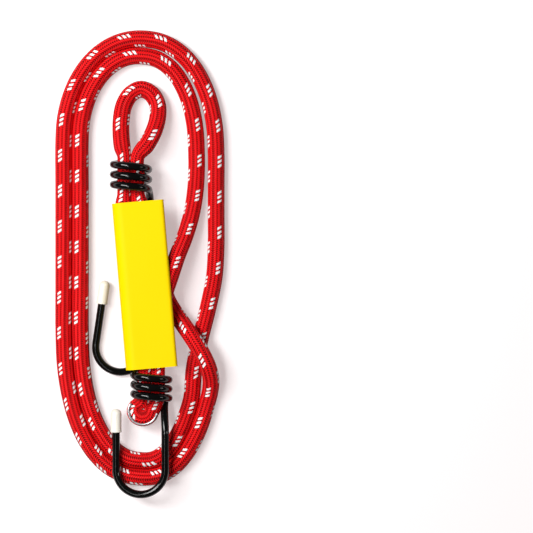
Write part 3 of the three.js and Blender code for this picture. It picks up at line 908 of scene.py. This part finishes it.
def ring_piece(steel):
    lengths = np.linspace(lower_end_length(RING_FROM), lower_end_length(RING_TO), RING_STEPS + 1)
    line = points_at(cord_line, lengths)
    headings, _, _ = frames_along(line)
    slope = math.radians(RING_SLOPE)
    reach = squeezed_radius + CLEARANCE + RING_WIRE / 2
    path = []
    for point, heading in zip(line, headings):
        outward = unit(np.array([-heading[1], heading[0], 0.0]))
        path.append(point + outward * reach * math.cos(slope) + UP * reach * math.sin(slope))
    steps_to_end = np.minimum(np.arange(RING_STEPS + 1), np.arange(RING_STEPS, -1, -1))
    radii = RING_WIRE / 2 * np.sqrt(np.clip(steps_to_end / RING_TAPER, RING_BLUNT, 1))
    rings = rings_along(np.array(path), radii, RING_SIDES)
    faces = ring_faces(len(rings), RING_SIDES)
    make_piece("stop_ring_wire", rings, faces, steel, "cord", "steel", "stop_ring")


# Tag: leaf on top, round fold on the left, short flap under the strands, with a little slack in the sheet
# that waves by radians per millimetre
TAG_ROWS = 72
LEAF_STEPS = 24
FOLD_STEPS = 16
HEM_STEPS = 6
SLACK_LIFT = 0.121
SLACK_WAVE = 0.066
SLACK_EASE = 4.0
LONG_WAVE = {"along": 0.085, "from": 0.6, "across": 0.16}
SHORT_WAVE = {"along": 0.21, "across": 0.11, "share": 0.5}


def arc(centre, radius, from_angle, to_angle, steps):
    angles = np.linspace(from_angle, to_angle, steps + 1)
    return [(centre[0] + radius * math.cos(a), centre[1] + radius * math.sin(a)) for a in angles]


def tag_profile():
    top = cross_height + cord_radius + TAG_LIFT + TAG_SHEET
    bottom = coil_height - cord_radius - CLEARANCE - TAG_SHEET
    fold = (top - bottom) / 2
    fold_centre = (fold - TAG_WIDTH / 2, (top + bottom) / 2)
    hem_centre = (TAG_WIDTH / 2 - TAG_HEM, top - TAG_HEM)
    flap_x = TAG_FLAP - TAG_WIDTH / 2
    quarter = math.pi / 2

    # One face of the sheet, at a depth below its outer face
    def face(depth):
        points = [(flap_x, bottom + depth)]
        points += arc(fold_centre, fold - depth, -quarter, -3 * quarter, FOLD_STEPS)
        for i in range(1, LEAF_STEPS):
            points.append((lerp(fold_centre[0], hem_centre[0], i / LEAF_STEPS), top - depth))
        return points + arc(hem_centre, TAG_HEM - depth, quarter, 0, HEM_STEPS)

    return np.array(face(0) + face(TAG_SHEET)[::-1])


def tag_piece():
    profile = tag_profile()
    lean = math.radians(TAG_LEAN)
    rows = []
    for i in range(TAG_ROWS + 1):
        y = lerp(-TAG_LENGTH / 2, TAG_LENGTH / 2, i / TAG_ROWS)
        x = profile[:, 0]
        on_leaf = np.clip((profile[:, 1] - cross_height) / SLACK_EASE, 0, 1)
        wave = np.sin(y * LONG_WAVE["along"] + LONG_WAVE["from"]) * np.cos(x * LONG_WAVE["across"])
        wave += SHORT_WAVE["share"] * np.sin(y * SHORT_WAVE["along"] + x * SHORT_WAVE["across"])
        z = profile[:, 1] + on_leaf * (SLACK_LIFT + SLACK_WAVE * wave)
        turned_x = TAG_CENTRE[0] + x * math.cos(lean) - y * math.sin(lean)
        turned_y = TAG_CENTRE[1] + x * math.sin(lean) + y * math.cos(lean)
        rows.append(np.stack([turned_x, turned_y, z], axis=1))
    faces = ring_faces(len(rows), len(profile))
    make_piece("folded_tag", rows, faces, tag_material(), "cord", "tag", "tag")


cord_points = cord_piece()
core_piece("core_end_upper", cord_points[0], cord_points[END_STEPS], "cord_core")
core_piece("core_end_lower", cord_points[-1], cord_points[-1 - END_STEPS])
black = wire_material()
steel = steel_material()
ivory = tip_material()
hook_pieces("upper_hook", *upper_hook_path(), "upper_hook_body", black, steel, ivory)
hook_pieces("lower_hook", *lower_hook_path(), "lower_hook_body", black, steel, ivory)
ring_piece(steel)
tag_piece()

# Floor, lamps and world, in metres and watts; the floor's glow has a larger share of its look far away
FLOOR_SIZE = 10.0
FLOOR_DROP = 0.0002
GLOW = 1.3
NEAR_WHITE = 0.37
# Pink tint of the floor's glow near the object: painted red light bounced from the cord
PAINTED_BOUNCE_TINT = (1.0, 0.86, 0.86, 1)
FAR_WHITE = 0.8
FAR_FROM = 0.26
FAR_TO = 0.6
LIGHTING_PAPER = (0.25, 0.25, 0.25, 1)
LAMPS = [
    {"name": "key", "place": (-0.52, 0.26, 0.75), "width": 0.3, "length": 0.55, "power": 9.5},
    {"name": "key_core", "place": (-0.28, -0.03, 0.84), "width": 0.06, "length": 0.22, "power": 1.2},
    {"name": "key_strip", "place": (-0.28, -0.03, 0.86), "width": 1.0, "length": 0.06, "power": 1.5},
    {"name": "fill", "place": (0.9, 0.0, 0.52), "width": 0.12, "length": 0.25, "power": 1.2},
]
WORLD_LIGHT = 0.06


# White paper that takes shadows and glows to what sees it, and that sends little light back to the object;
# near the object its glow is tinted pink, painted red light bounced from the cord into the shadows
def floor_material():
    s = Shader("pale_floor")
    nodes = s.tree.nodes
    paper = nodes.new("ShaderNodeBsdfDiffuse")
    glow = nodes.new("ShaderNodeEmission")
    glow.inputs["Strength"].default_value = GLOW
    ray = nodes.new("ShaderNodeLightPath")
    seen = s.math("ADD", ray.outputs["Is Camera Ray"], ray.outputs["Is Glossy Ray"])
    seen = s.math("MINIMUM", s.math("ADD", seen, ray.outputs["Is Transmission Ray"]), 1.0)
    s.put(paper.inputs["Color"], s.mix(seen, LIGHTING_PAPER, WHITE))
    blend = nodes.new("ShaderNodeMixShader")
    place = nodes.new("ShaderNodeTexCoord")
    distance = nodes.new("ShaderNodeVectorMath")
    distance.operation = "LENGTH"
    s.put(distance.inputs[0], place.outputs["Object"])
    far = s.spread(distance.outputs["Value"], FAR_FROM, FAR_TO)
    white = s.spread(far, 0.0, 1.0, NEAR_WHITE, FAR_WHITE)
    # Painted bounce light: the glow is pink near the object and white far away
    s.put(glow.inputs["Color"], s.mix(far, PAINTED_BOUNCE_TINT, WHITE))
    s.put(blend.inputs[0], s.math("MULTIPLY", seen, white))
    s.put(blend.inputs[1], paper.outputs[0])
    s.put(blend.inputs[2], glow.outputs[0])
    s.put(nodes["Material Output"].inputs["Surface"], blend.outputs[0])
    nodes.remove(s.surface)
    return s.material


def add_floor():
    half = FLOOR_SIZE / 2
    mesh = bpy.data.meshes.new("floor")
    corners = [(-half, -half, 0), (half, -half, 0), (half, half, 0), (-half, half, 0)]
    mesh.from_pydata(corners, [], [(0, 1, 2, 3)])
    mesh.materials.append(floor_material())
    floor = bpy.data.objects.new("floor", mesh)
    floor.location.z = -FLOOR_DROP
    bpy.context.scene.collection.objects.link(floor)


# A soft rectangular lamp that faces the origin
def add_lamp(name, place, width, length, power):
    data = bpy.data.lights.new(name, "AREA")
    data.shape = "RECTANGLE"
    data.size = width
    data.size_y = length
    data.energy = power
    lamp = bpy.data.objects.new(name, data)
    lamp.location = place
    bpy.context.scene.collection.objects.link(lamp)
    lamp.rotation_mode = "QUATERNION"
    lamp.rotation_quaternion = lamp.location.to_track_quat("Z", "Y")


add_floor()
for lamp in LAMPS:
    add_lamp(**lamp)
world = bpy.data.worlds.new("world")
world.use_nodes = True
background = world.node_tree.nodes["Background"]
background.inputs["Color"].default_value = WHITE
background.inputs["Strength"].default_value = WORLD_LIGHT
bpy.context.scene.world = world
bpy.context.scene.view_settings.view_transform = "Standard"
